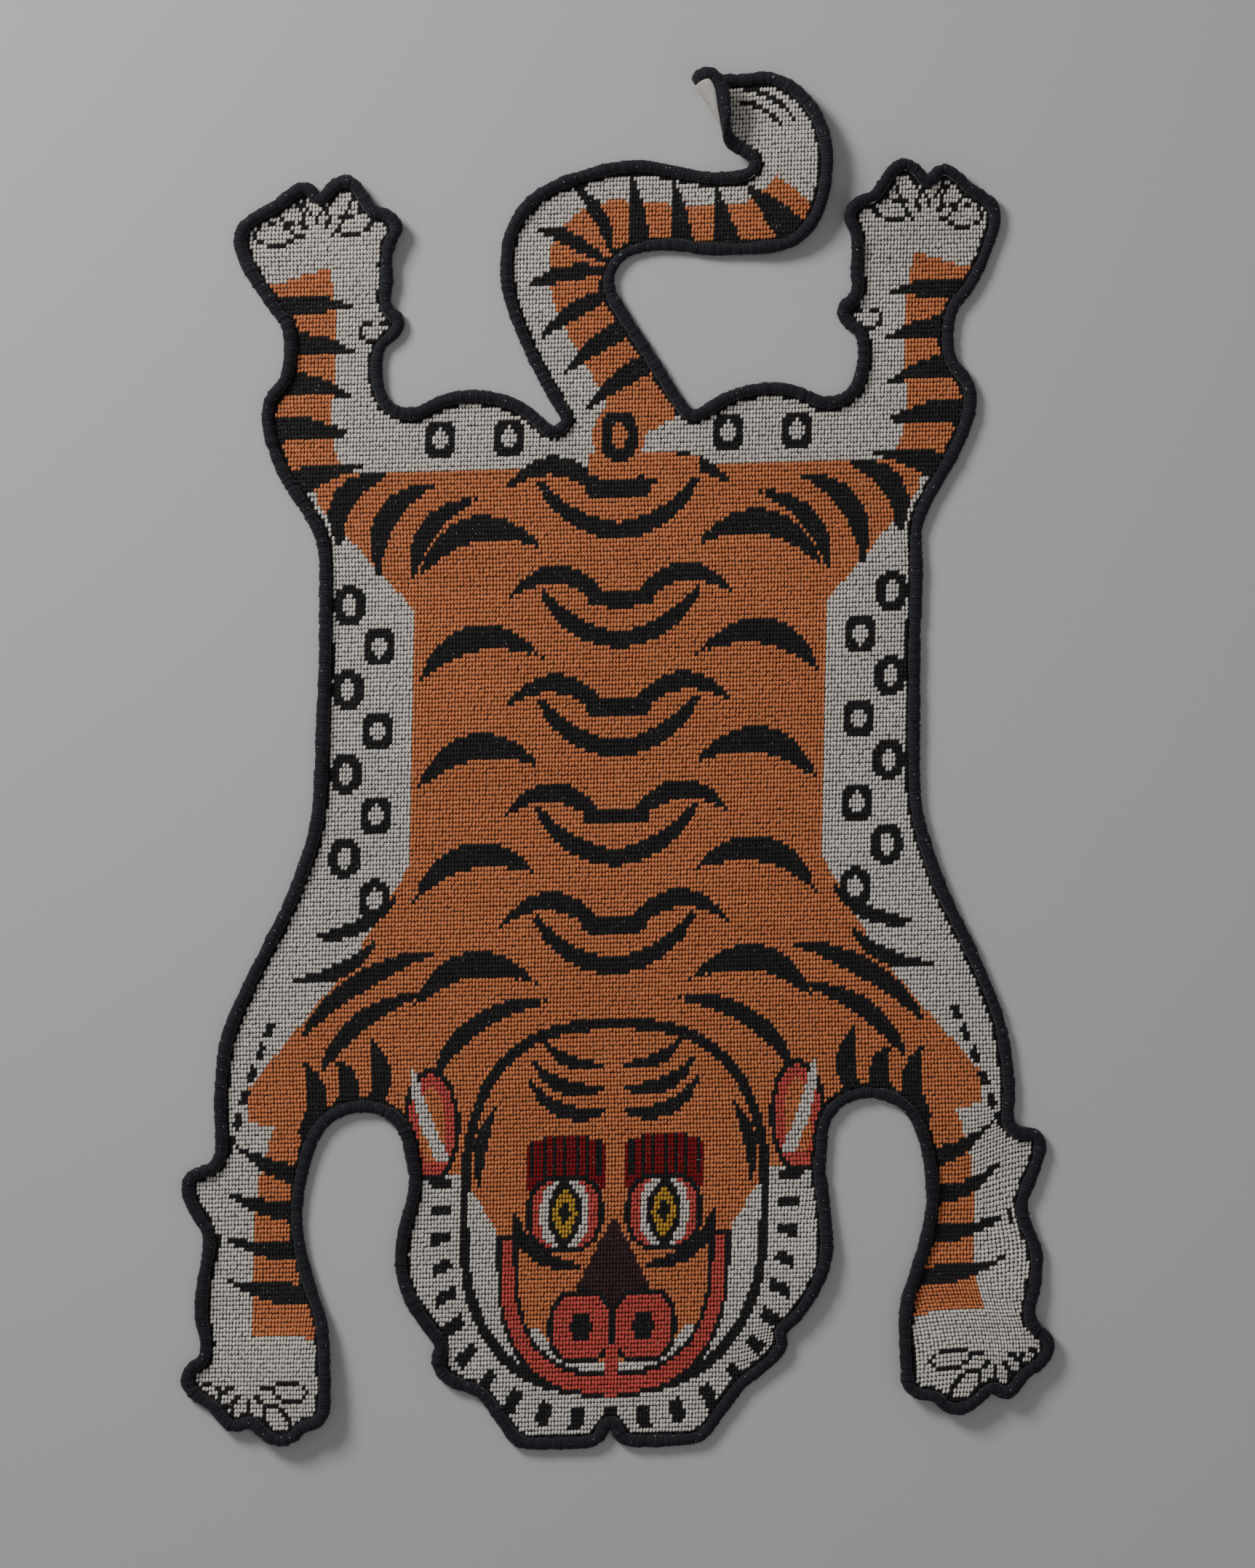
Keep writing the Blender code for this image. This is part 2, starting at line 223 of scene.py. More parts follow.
def raised(x, y, w):
    """A point w above the underside at the floor place x, y, with the lifts and the curl."""
    floor = lift(x, y)
    x, y, height = curl(x, y, w)
    return np.stack([x, y, floor + height], axis=-1)


# Yarns of the chart, by number
CREAM, ORANGE, BLACK, CORAL, RED, MUSTARD, BROWN = range(7)

# The flank's cream starts this far from the spine: v, distance; the hip's cream starts at one v
FLANK_LINE = [(400, 400), (530, 290), (640, 225), (920, 225), (1040, 330)]
HIP_START = 1070
HIP_HALF = 300

# Stripes are bowed arcs in chart millimetres: start across and along, end across and along,
# bow, then half widths at the start, the middle and the end
ARC_STEPS = 25
SPINE_LEVELS = [570 + 119 * step for step in range(5)]
SPINE_ARCS = [
    (0, 0, 30, 0, 0, 9, 9, 7),
    (20, 0, 124, 2, 27, 6, 10, 1),
    (0, -45, 84, 8, -12, 9, 9, 4),
    (84, -62, 220, -88, 36, 1, 14, 1),
]
BODY_ARCS = [
    (66, 488, 196, 408, 24, 1, 10, 3),
    (190, 546, 336, 462, 16, 1, 11, 3),
    (206, 500, 316, 424, 16, 1, 10, 4),
    (236, 612, 330, 566, -14, 1, 8, 1),
    (258, 560, 352, 520, -14, 1, 8, 1),
    (264, 452, 262, 380, -10, 1, 10, 8),
    (302, 432, 300, 366, -12, 1, 11, 8),
    (338, 430, 338, 350, -14, 1, 11, 8),
    (150, 1040, 226, 950, 24, 1, 10, 1),
    (196, 1058, 264, 962, 26, 1, 12, 2),
    (250, 1068, 306, 996, 24, 1, 12, 4),
]

# Rings: two staggered rows on each flank and a pair on the hip, with one size for all
RINGS = [(262 + 34 * (step % 2), 605 + 46 * step) for step in range(8)] + [(120, 1106), (195, 1106)]
RING_SIZE = (17, 21)
RING_HOLE = (8, 12)

# Middle lines of the limbs. Orange runs from one place along to another, up to a distance
# across. Dashes are: first place, pitch, count, distance across, half width, half length.
# Bands are: first place, pitch, count, lean, half width, and the
# distances across at which they start full and end in a point
FORELEG_LINE = [(330, 470), (365, 380), (390, 290), (391, 200), (393, 100), (393, 20)]
FORELEG_BANDS = (165, 46, 4, 16, 11, -45, 34)
FORELEG_ORANGE = (120, 350, 0)
FORELEG_DASHES = (20, 26, 6, 40, 4, 8)
HINDLEG_LINE = [(290, 1040), (318, 1110), (316, 1200), (320, 1270), (336, 1330), (342, 1390)]
HINDLEG_BANDS = (44, 46, 5, 14, 12, -45, 30)
HINDLEG_ORANGE = (30, 262, 6)
TAIL_LINE = [(5, 1100), (-42, 1180), (-80, 1250), (-82, 1312), (-38, 1352), (40, 1352),
             (118, 1354), (158, 1388), (164, 1430), (132, 1474), (92, 1482)]
TAIL_BANDS = (66, 46, 10, 12, 11, -40, 34)
TAIL_ORANGE = (0, 505, 6)
TAIL_START = 1086
TAIL_REACH = 75
TAIL_RING = (-12, 1104, 20, 27, 9, 15)
RUMP_ORANGE = (-44, 78, 1060)
RING_FIELD = (28, 37)
TAIL_TIP_ARCS = [(110, 1470, 160, 1440, 8, 1, 3, 1), (104, 1486, 172, 1452, 10, 1, 3, 1)]

FORELEG_TOP, HINDLEG_TOP, LEG_INSIDE, DASH_TOP = 470, 1040, 240, 520

# Feet: middle across and along, reach of the toes, first angle, step between toes, count
FORE_FOOT = (396, 78, 50, -172, 40, 5)
HIND_FOOT = (332, 1328, 44, 8, 38, 5)
TOE_SIZE = (17, 9)
TOE_RIM = 3.6
TOE_LINE = (14, 34, 2.6)
DEW_CLAWS = [(446, 236, 15, 9), (268, 1226, 15, 9)]

# Face, as rounded ovals: middle v, half width, half height; all share one roundness
ROUNDNESS = 2.6
FACE = (262, 164, 200)
FACE_RIM = 5
RUFF_TOP = 300
RUFF_HALF = 262
RUFF_TICKS = (9.0, 0.19, 15, 36)
MOUTH = (214, 116, 146)
MOUTH_TOP = 236
CHEEK_RISE = 1.5
LIP_HALF = 7
LIP_RIM = 11
LIP_END = 5
TEETH = (-20, -11, 130)
FACE_ARCS = [
    (12, 366, 92, 402, -16, 3, 8, 1),
    (12, 392, 88, 424, -14, 3, 8, 1),
    (12, 418, 74, 444, -10, 2, 7, 1),
    (40, 198, 112, 268, -20, 3, 8, 1),
    (130, 372, 148, 290, 8, 1, 7, 1),
]
BROW_BLOCK = (54, 43, 284, 342)
BROW_CROWN = 10
LASH_START = 14
LASH_PITCH = 12.0
LASH_HALF = 2.2
EYE = (54, 256)
EYE_OVALS = [(42, 43, BLACK), (37, 38, CORAL), (27, 37, CREAM)]
EYE_LENSES = [(19, 40, BLACK), (13, 28, MUSTARD), (6, 12, BLACK)]
BRIDGE = (254, 150, 0.5)
NOSTRIL = (34, 132)
NOSTRIL_OVALS = [(36, 41, BLACK), (31, 36, CORAL), (11, 15, BLACK)]
PHILTRUM = (7, 56, 112)
EAR = (200, 356)
EAR_OVALS = [(31, 62, BLACK), (26, 56, CORAL), (15, 42, ORANGE)]
EAR_LEAF = (190, 322, 222, 428, -4, 7, 7, 1)

BORDER = 3.5


def in_shape(u, v, corners):
    """Which points lie inside a closed polygon."""
    hit = np.zeros(u.shape, dtype=bool)
    for (au, av), (bu, bv) in zip(corners, [*corners[1:], corners[0]]):
        if av == bv:
            continue
        crosses = (av > v) != (bv > v)
        hit ^= crosses & (u < (bu - au) * (v - av) / (bv - av) + au)
    return hit


def in_oval(u, v, middle_u, middle_v, wide, tall, power=2.0):
    return (np.abs(u - middle_u) / wide)**power + (np.abs(v - middle_v) / tall)**power < 1


def in_arc(u, v, arc):
    """Which points lie inside a bowed stripe."""
    start_u, start_v, end_u, end_v, bow, start, middle, end = arc
    t = np.linspace(0, 1, ARC_STEPS)
    run_u, run_v = end_u - start_u, end_v - start_v
    swell = 4 * bow * t * (1 - t) / math.hypot(run_u, run_v)
    line_u = start_u + run_u * t - run_v * swell
    line_v = start_v + run_v * t + run_u * swell
    half = start * (1 - t) * (1 - 2 * t) + 4 * middle * t * (1 - t) + end * t * (2 * t - 1)
    hit = np.zeros(u.shape, dtype=bool)
    for middle_u, middle_v, reach in zip(line_u, line_v, half):
        hit |= (u - middle_u)**2 + (v - middle_v)**2 < reach**2
    return hit


def in_ring(u, v, middle_u, middle_v, size, hole):
    outer = in_oval(u, v, middle_u, middle_v, *size, ROUNDNESS)
    return outer & ~in_oval(u, v, middle_u, middle_v, *hole)


def smooth_line(points, pieces=6):
    """A curve through the points, as short straight pieces."""
    points = np.array(points, dtype=float)
    slopes = np.gradient(points, axis=0)
    t = np.linspace(0, 1, pieces, endpoint=False)[:, None]
    rows = []
    for a, b, slope_a, slope_b in zip(points, points[1:], slopes, slopes[1:]):
        ease = 3 * t**2 - 2 * t**3
        rows.append(a + ease * (b - a) + (t**3 - 2 * t**2 + t) * slope_a + (t**3 - t**2) * slope_b)
    return np.concatenate([*rows, points[-1:]])


def limb(u, v, line):
    """Distance along a limb's middle line, distance to it, and signed distance left of it."""
    line = smooth_line(line)
    best = np.full(u.shape, np.inf)
    along, across = np.zeros(u.shape), np.zeros(u.shape)
    walked = 0.0
    for (au, av), (bu, bv) in zip(line, line[1:]):
        length = math.hypot(bu - au, bv - av)
        du, dv = (bu - au) / length, (bv - av) / length
        run = np.clip((u - au) * du + (v - av) * dv, 0, length)
        gap = np.hypot(u - au - du * run, v - av - dv * run)
        side = (v - av) * du - (u - au) * dv
        closer = gap < best
        best[closer] = gap[closer]
        along[closer] = (walked + run)[closer]
        across[closer] = np.copysign(gap, side)[closer]
        walked += length
    return along, across


def in_bands(along, across, bands):
    """Which points lie in even cross bands that taper across the limb."""
    first, pitch, count, lean, thick, full, point = bands
    share = np.clip((across - full) / (point - full), 0, 1)
    place = (along - first + lean * share**2) / pitch
    number = np.round(place)
    half = thick * (1 - share**2)
    return (np.abs(place - number) * pitch < half) & (number >= 0) & (number < count)


def paint(yarn, colour, *masks):
    for mask in masks:
        yarn[mask] = colour


def paint_body(u, v, yarn):
    levels, starts = np.array(FLANK_LINE, dtype=float).T
    paint(yarn, CREAM, u > np.interp(v, levels, starts), (v > HIP_START) & (u < HIP_HALF))
    for level in SPINE_LEVELS:
        paint(yarn, BLACK, *[in_arc(u, v - level, arc) for arc in SPINE_ARCS])
    paint(yarn, BLACK, *[in_arc(u, v, arc) for arc in BODY_ARCS])
    paint(yarn, BLACK, *[in_ring(u, v, *ring, RING_SIZE, RING_HOLE) for ring in RINGS])


def paint_foot(u, v, yarn, foot):
    """Toes as ovals with a dark rim, set round the foot, and a fine line behind each one."""
    middle_u, middle_v, reach, first, step, count = foot
    long, wide = TOE_SIZE
    line_start, line_end, line_half = TOE_LINE
    for toe in range(count):
        angle = math.radians(first + step * toe)
        out = (u - middle_u) * math.cos(angle) + (v - middle_v) * math.sin(angle)
        over = (v - middle_v) * math.cos(angle) - (u - middle_u) * math.sin(angle)
        behind = (out > line_start) & (out < line_end) & (np.abs(over) < line_half)
        rim = in_oval(out, over, reach, 0, long + TOE_RIM, wide + TOE_RIM)
        paint(yarn, BLACK, behind, rim)
        paint(yarn, CREAM, in_oval(out, over, reach, 0, long, wide))


def paint_legs(u, v, yarn):
    legs = [(FORELEG_LINE, FORELEG_BANDS, FORELEG_ORANGE, v < FORELEG_TOP),
            (HINDLEG_LINE, HINDLEG_BANDS, HINDLEG_ORANGE, v > HINDLEG_TOP)]
    for line, bands, (start, end, side), near in legs:
        along, across = limb(u, v, line)
        near = near & (u > LEG_INSIDE) & (along > start)
        paint(yarn, CREAM, near & ((across > side) | (along > end)))
        paint(yarn, ORANGE, near & (across < side) & (along < end))
        paint(yarn, BLACK, near & in_bands(along, across, bands))
    along, across = limb(u, v, FORELEG_LINE)
    first, pitch, count, middle, half, long = FORELEG_DASHES
    number = np.round((along - first) / pitch)
    dash = (np.abs(along - first - number * pitch) < long) & (np.abs(across - middle) < half)
    paint(yarn, BLACK, dash & (number >= 0) & (number < count) & (v < DASH_TOP))
    paint_foot(u, v, yarn, FORE_FOOT)
    paint_foot(u, v, yarn, HIND_FOOT)
    for claw_u, claw_v, wide, tall in DEW_CLAWS:
        paint(yarn, BLACK, in_oval(u, v, claw_u, claw_v, wide + TOE_RIM, tall + TOE_RIM))
        paint(yarn, CREAM, in_oval(u, v, claw_u, claw_v, wide, tall))


def paint_tail(x, y, yarn):
    """The tail is not mirrored, so it is drawn in floor places."""
    along, across = limb(x, y, TAIL_LINE)
    start, end, side = TAIL_ORANGE
    near = (y > TAIL_START) & (np.abs(across) < TAIL_REACH) & (along > start)
    paint(yarn, CREAM, near & ((across > side) | (along > end)))
    paint(yarn, ORANGE, near & (across < side) & (along < end))
    left, right, low = RUMP_ORANGE
    paint(yarn, ORANGE, (y > low) & (y <= TAIL_START) & (x > left) & (x < right))
    paint(yarn, BLACK, near & in_bands(along, across, TAIL_BANDS))
    ring_x, ring_y, wide, tall, hole_wide, hole_tall = TAIL_RING
    paint(yarn, ORANGE, in_oval(x, y, ring_x, ring_y, *RING_FIELD))
    paint(yarn, BLACK, in_ring(x, y, ring_x, ring_y, (wide, tall), (hole_wide, hole_tall)))
    paint(yarn, BLACK, *[in_arc(x, y, arc) for arc in TAIL_TIP_ARCS])


def from_oval(u, v, oval):
    """Signed distance from a rounded oval on the spine, roughly, and positive outside."""
    middle, wide, tall = oval
    size = ((u / wide)**ROUNDNESS + (np.abs(v - middle) / tall)**ROUNDNESS)**(1 / ROUNDNESS)
    return (size - 1) * wide


def paint_eye(u, v, yarn):
    middle, half, low, high = BROW_BLOCK
    rounded = high - ((u - middle) / half)**2 * BROW_CROWN
    block = (np.abs(u - middle) < half) & (v > low) & (v < rounded)
    paint(yarn, RED, block)
    lash = np.abs((u - middle) / LASH_PITCH - np.round((u - middle) / LASH_PITCH)) * LASH_PITCH
    paint(yarn, BLACK, block & (lash < LASH_HALF) & (v > low + LASH_START))
    for wide, tall, colour in EYE_OVALS:
        paint(yarn, colour, in_oval(u, v, *EYE, wide, tall, ROUNDNESS))
    for wide, tall, colour in EYE_LENSES:
        paint(yarn, colour, np.abs(u - EYE[0]) / wide + (np.abs(v - EYE[1]) / tall)**2 < 1)


def paint_nose(u, v, yarn):
    top, bottom, slope = BRIDGE
    paint(yarn, BROWN, (v > bottom) & (u < (top - v) * slope))
    for wide, tall, colour in NOSTRIL_OVALS:
        paint(yarn, colour, in_oval(u, v, *NOSTRIL, wide, tall, ROUNDNESS))
    half, low, high = PHILTRUM
    paint(yarn, CORAL, (u < half) & (v > low) & (v < high))


def paint_head(u, v, yarn):
    face = from_oval(u, v, FACE)
    low = (v < RUFF_TOP) & (u < RUFF_HALF)
    paint(yarn, CREAM, low & (face > 0))
    pitch, half, start, end = RUFF_TICKS
    angle = np.degrees(np.arctan2(v - FACE[0], u)) / pitch
    ticks = (np.abs(angle - np.round(angle)) < half) & (face > start) & (face < end)
    paint(yarn, BLACK, low & ticks, (np.abs(face) < FACE_RIM))
    paint(yarn, ORANGE, face < -FACE_RIM)
    paint(yarn, BLACK, *[in_arc(u, v, arc) for arc in FACE_ARCS])
    lip = from_oval(u, v, MOUTH)
    inner, outer, teeth_top = TEETH
    cheek_top = MOUTH_TOP + CHEEK_RISE * (lip - LIP_RIM)
    paint(yarn, CREAM, (v < cheek_top) & (lip > LIP_RIM) & (face < -FACE_RIM))
    paint(yarn, CREAM, (v < teeth_top) & (lip > inner) & (lip < outer))
    paint(yarn, BLACK, (v < MOUTH_TOP) & (np.abs(lip) < LIP_RIM))
    paint(yarn, CORAL, (v < MOUTH_TOP - LIP_END) & (np.abs(lip) < LIP_HALF))
    paint_eye(u, v, yarn)
    paint_nose(u, v, yarn)
    for wide, tall, colour in EAR_OVALS:
        paint(yarn, colour, in_oval(u, v, *EAR, wide, tall))
    paint(yarn, CREAM, in_arc(u, v, EAR_LEAF))


def chart_colours(u, v, x, y, to_edge):
    """Yarn of each stitch from its chart place, its floor place and its distance to the edge."""
    half = np.abs(u)
    yarn = np.full(u.shape, ORANGE)
    paint_body(half, v, yarn)
    paint_legs(half, v, yarn)
    paint_head(half, v, yarn)
    paint_tail(x, y, yarn)
    paint(yarn, BLACK, to_edge < BORDER)
    return yarn


# Stitch grid of the field, in chart millimetres, and the heights of its layers
STITCH_WIDE = 3.57
STITCH_TALL = 4.87
FIRST_COLUMN, LAST_COLUMN = -140, 140
ROWS = 312
CANVAS_TOP = 0.0022
STITCH_TOP = 0.0043
CANVAS_STEP = 0.012
TIP_STEP = 0.004
EDGE_CLEARANCE = 0.0006
STITCH_SINK = 0.0004

# One stitch: an oval foot of eight corners and a short ridge, as shares of the cell's size
FOOT_CORNERS = 8
FOOT_WIDE = 0.56
FOOT_TALL = 0.56
RIDGE_HALF = 0.22
STITCH_LEAN = 0.20
PLACE_JITTER = 0.05
TURN_JITTER = 0.16
HEIGHT_JITTER = 0.14

# The edge cord: rings of corners along the outline, wrapped with yarn
CORD_STEP = 0.00105
CORD_CORNERS = 12
CORD_RADIUS = 0.0064
WRAP_PITCH = 0.0036
WRAP_SLANT = 0.35
WRAP_BULGE = 0.085
WRAP_UNEVEN = 0.05
LUMP_SIZES = [(0.012, 0.040), (0.031, 0.045), (0.090, 0.030)]

FUZZ_COUNT = 2600
LINT_COUNT = 170
SEED = 1629

BINDING_NODES = [f"binding_{part}" for part in
                 ("head", "tail", "left_foreleg", "left_flank", "left_hind_leg",
                  "right_foreleg", "right_flank", "right_hind_leg")]

YARN_NAMES = ["cream", "orange", "black", "coral", "red", "mustard", "brown"]
MOST_STITCHES = 15000


def outer_edge():
    """The rug's outer edge on the floor, as closely spaced points."""
    mirrored = [(-u, v) for u, v in HALF_OUTLINE[:0:-1]]
    corners = np.array(HALF_OUTLINE + TAIL_OUTLINE + mirrored, dtype=float) * MM
    return pull(*smooth_loop(corners, OUTLINE_STEP).T)


def in_row(points):
    """From the outline's own frame to the shared one."""
    return points - np.array([*MIDDLE, 0.0])


def evenly(loop, step):
    """Points at an even spacing along a closed loop, with the distance of each from the start."""
    closed = np.concatenate([loop, loop[:1]])
    walked = np.concatenate([[0], np.cumsum(np.linalg.norm(np.diff(closed, axis=0), axis=1))])
    count = round(walked[-1] / step)
    at = np.arange(count) / count * walked[-1]
    return np.stack([np.interp(at, walked, closed[:, axis]) for axis in (0, 1)], axis=1), at


def smoothed(loop, rounds):
    for _ in range(rounds):
        loop = 0.25 * np.roll(loop, 1, axis=0) + 0.5 * loop + 0.25 * np.roll(loop, -1, axis=0)
    return loop


def nearest(x, y, loop):
    """Distance of each point from the nearest point of the loop."""
    gaps = np.empty(len(x))
    for start in range(0, len(x), 1500):
        part = slice(start, start + 1500)
        apart = np.hypot(x[part, None] - loop[None, :, 0], y[part, None] - loop[None, :, 1])
        gaps[part] = apart.min(axis=1)
    return gaps


def make_object(name, points, faces, attributes=()):
    """A smooth mesh object; attributes are pairs of a name and one value a corner point."""
    mesh = bpy.data.meshes.new(name)
    faces = np.asarray(faces)
    sides = faces.shape[1]
    mesh.vertices.add(len(points))
    mesh.vertices.foreach_set("co", np.asarray(points, dtype=np.float32).ravel())
    mesh.loops.add(faces.size)
    mesh.loops.foreach_set("vertex_index", faces.ravel().astype(np.int32))
    mesh.polygons.add(len(faces))
    mesh.polygons.foreach_set("loop_start", np.arange(len(faces), dtype=np.int32) * sides)
    mesh.update(calc_edges=True)
    mesh.validate()
    mesh.polygons.foreach_set("use_smooth", np.ones(len(faces), dtype=bool))
    for label, values in attributes:
        layer = mesh.attributes.new(label, "FLOAT", "POINT")
        layer.data.foreach_set("value", np.asarray(values, dtype=np.float32).ravel())
    thing = bpy.data.objects.new(name, mesh)
    bpy.context.scene.collection.objects.link(thing)
    return thing


def stitch_places(edge):
    """Chart and floor places of the stitches inside the field's edge, and their yarns."""
    columns, rows = np.meshgrid(np.arange(FIRST_COLUMN, LAST_COLUMN + 1), np.arange(ROWS))
    u = (columns.ravel() + 0.5) * STITCH_WIDE
    v = (rows.ravel() + 0.5) * STITCH_TALL
    x, y = pull(u * MM, v * MM).T
    inside = in_shape(x, y, [tuple(point) for point in edge])
    u, v, x, y = u[inside], v[inside], x[inside], y[inside]
    to_edge = nearest(x, y, edge)
    keep = to_edge > EDGE_CLEARANCE
    u, v, x, y, to_edge = u[keep], v[keep], x[keep], y[keep], to_edge[keep]
    yarn = chart_colours(u, v, x / MM, y / MM, to_edge / MM)
    return u, v, yarn


def stitch_shape():
    """Points of one stitch as shares of its cell, their heights from 0 to 1, and its triangles."""
    turn = (np.arange(FOOT_CORNERS) + 0.5) / FOOT_CORNERS * 2 * np.pi
    square = 1 / (np.abs(np.cos(turn))**3 + np.abs(np.sin(turn))**3)**(1 / 3)
    foot = np.stack([np.cos(turn) * square * FOOT_WIDE, np.sin(turn) * square * FOOT_TALL], axis=1)
    ridge = np.array([(0.0, RIDGE_HALF), (0.0, -RIDGE_HALF)])
    points = np.concatenate([foot, ridge])
    height = np.array([0.0] * FOOT_CORNERS + [1.0, 1.0])
    upper, lower = FOOT_CORNERS, FOOT_CORNERS + 1
    half = FOOT_CORNERS // 2
    faces = []
    for corner in range(FOOT_CORNERS):
        following = (corner + 1) % FOOT_CORNERS
        if corner < half - 1:
            faces.append((corner, following, upper))
        elif corner == half - 1:
            faces.append((corner, following, upper))
            faces.append((following, lower, upper))
        elif corner < FOOT_CORNERS - 1:
            faces.append((corner, following, lower))
        else:
            faces.append((corner, following, lower))
            faces.append((following, upper, lower))
    return points, height, np.array(faces)


def stitches(name, u, v, chance):
    """One object with a small leaning dome of yarn at each place."""
    shape, height, faces = stitch_shape()
    count = len(u)
    angle = TURN_JITTER * chance.normal(size=(count, 1))
    across, along = shape[:, 0], shape[:, 1]
    across = across + STITCH_LEAN * along
    slip = PLACE_JITTER * chance.normal(size=(count, 2))
    local_u = (across - angle * along + slip[:, :1]) * STITCH_WIDE
    local_v = (along + angle * across + slip[:, 1:]) * STITCH_TALL
    x, y = np.moveaxis(pull((u[:, None] + local_u) * MM, (v[:, None] + local_v) * MM), -1, 0)
    tall = (STITCH_TOP - CANVAS_TOP) * (1 + HEIGHT_JITTER * chance.normal(size=(count, 1)))
    w = CANVAS_TOP - STITCH_SINK + height * (tall + STITCH_SINK)
    points = in_row(raised(x.ravel(), y.ravel(), w.ravel()))
    indices = (faces[None] + len(shape) * np.arange(count)[:, None, None]).reshape(-1, 3)
    # The rise attribute sets the painted shade and painted highlight of the yarn
    return make_object(name, points, indices, [("rise", np.tile(height, count))])


def make_stitches(edge, chance):
    u, v, yarn = stitch_places(edge)
    made = []
    for number, label in enumerate(YARN_NAMES):
        chosen = np.flatnonzero(yarn == number)
        parts = -(-len(chosen) // MOST_STITCHES)
        for part, share in enumerate(np.array_split(chosen, max(1, parts))):
            name = f"stitches_{label}" if parts < 2 else f"stitches_{label}_{part + 1}"
            piece = stitches(name, u[share], v[share], chance)
            piece.data.materials.append(yarn_material(label))
            made.append(piece)
    return made


def make_canvas(edge):
    """The ground cloth as a thin closed slab, cut to the field's edge."""
    low, high = edge.min(axis=0), edge.max(axis=0)
    gx, gy = np.meshgrid(np.arange(low[0], high[0], CANVAS_STEP),
                         np.arange(low[1], high[1], CANVAS_STEP))
    gx, gy = gx.ravel(), gy.ravel()
    inside = in_shape(gx, gy, [tuple(point) for point in edge])
    inside &= nearest(gx, gy, edge) > CANVAS_STEP / 2
    fine = np.stack(np.meshgrid(np.arange(*CURL_BOX[0], TIP_STEP),
                                np.arange(*CURL_BOX[1], TIP_STEP)), axis=-1).reshape(-1, 2)
    in_tip = in_shape(fine[:, 0], fine[:, 1], [tuple(point) for point in edge])
    in_tip &= nearest(fine[:, 0], fine[:, 1], edge) > TIP_STEP / 2
    flat = np.concatenate([edge, np.stack([gx, gy], axis=1)[inside], fine[in_tip]])
    rim = len(edge)
    loop = [(index, (index + 1) % rim) for index in range(rim)]
    found = delaunay_2d_cdt([Vector(point) for point in flat], loop, [], 1, 1e-6)
    plane = np.array([tuple(point) for point in found[0]])
    faces = np.array(found[2])
    sources = {source: index for index, made in enumerate(found[3]) for source in made}
    ring = np.array([sources[index] for index in range(rim)])
    count = len(plane)
    top = raised(plane[:, 0], plane[:, 1], np.full(count, CANVAS_TOP))
    bottom = raised(plane[:, 0], plane[:, 1], np.zeros(count))
    after = np.roll(ring, -1)
    walls = np.concatenate([np.stack([ring + count, after + count, after], axis=1),
                            np.stack([ring + count, after, ring], axis=1)])
    triangles = np.concatenate([faces, faces[:, ::-1] + count, walls])
    points = in_row(np.concatenate([top, bottom]))
    slab = make_object("canvas_ground", points, triangles,
                       [("under", np.repeat([0.0, 1.0], count))])
    return slab


def make_cord(middle, chance):
    """The whipped edge: yarn wound round the edge of the rug, uneven along its run."""
    path, at = evenly(middle, CORD_STEP)
    path = smoothed(path, 3)
    outward = -sideways(np.roll(path, -1, axis=0) - np.roll(path, 1, axis=0))
    length = at[-1] + CORD_STEP
    turn = np.arange(CORD_CORNERS) / CORD_CORNERS * 2 * np.pi
    wraps = round(length / WRAP_PITCH)
    phase = at[:, None] / length * wraps + WRAP_SLANT * np.sin(turn)[None]
    bulge = np.abs(np.sin(np.pi * phase))**0.7 - 0.6
    number = np.floor(phase).astype(int) % wraps
    wrap_size = chance.normal(size=wraps) * WRAP_UNEVEN
    lumps = np.zeros(len(at))
    for size, strength in LUMP_SIZES:
        knots = round(length / size)
        values = chance.normal(size=knots)
        place = at / length * knots
        lumps += strength * np.interp(place, np.arange(knots + 1), np.append(values, values[0]))
    radius = CORD_RADIUS * (1 + WRAP_BULGE * bulge + wrap_size[number] + lumps[:, None])
    x = path[:, :1] + outward[:, :1] * radius * np.cos(turn)
    y = path[:, 1:] + outward[:, 1:] * radius * np.cos(turn)
    w = np.maximum(BINDING_RADIUS + radius * np.sin(turn), 0.0)
    points = in_row(raised(x.ravel(), y.ravel(), w.ravel()))
    rings = np.arange(len(at))[:, None] * CORD_CORNERS
    corners = np.arange(CORD_CORNERS)[None]
    next_rings, next_corners = np.roll(rings, -1, axis=0), (corners + 1) % CORD_CORNERS
    faces = np.stack([rings + corners, rings + next_corners, next_rings + next_corners,
                      next_rings + corners], axis=-1).reshape(-1, 4)
    # The rise attribute, the wraps' swell, sets the painted shade between the wraps
    cord = make_object("edge_cord", points, faces,
                       [("rise", bulge.ravel() + 0.6), ("wrap", (number * 0.618 % 1).ravel())])
    return cord, path, outward


